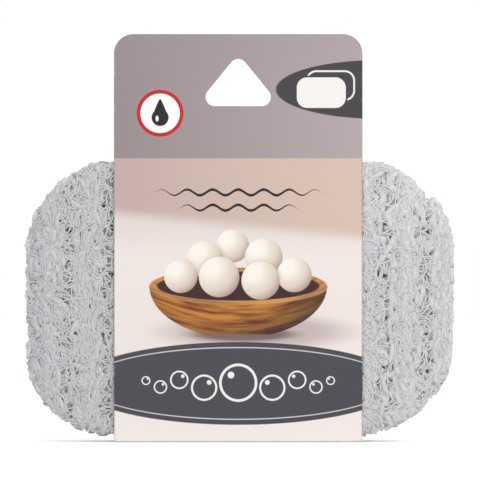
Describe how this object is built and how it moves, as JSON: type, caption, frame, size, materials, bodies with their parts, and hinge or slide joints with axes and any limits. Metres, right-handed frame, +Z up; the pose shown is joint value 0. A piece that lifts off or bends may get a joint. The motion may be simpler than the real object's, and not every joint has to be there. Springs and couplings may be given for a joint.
{
  "type": "soap saver pack",
  "caption": "Hanging card sleeve holding two open loop mats that keep a bar of soap off its dish; each mat slides out sideways.",
  "frame": {"origin": "middle of the pack's base, on the surface that the sleeve's bottom panel stands on", "axes": "+Z up towards the hang hole, -Y towards the printed front, +X to the right seen from the front; X is the longest side, across the mats"},
  "size_m": [0.12, 0.0208, 0.115],
  "materials": {
    "printed_card": "coated, satin print",
    "glue": "thin film of dried adhesive",
    "vinyl_loops": "soft vinyl filament, slightly translucent"
  },
  "bodies": {
    "sleeve": {"card_sleeve": "printed_card", "header_glue": "glue"},
    "front_mat": {"front_pad": "vinyl_loops"},
    "rear_mat": {"rear_pad": "vinyl_loops"}
  },
  "joints": [
    {"name": "front_pad_slide", "type": "slide", "parent": "sleeve", "child": "front_mat", "axis": [1, 0, 0], "range_m": [-0.095, 0.095]},
    {"name": "rear_pad_slide", "type": "slide", "parent": "sleeve", "child": "rear_mat", "axis": [1, 0, 0], "range_m": [-0.095, 0.095]}
  ]
}
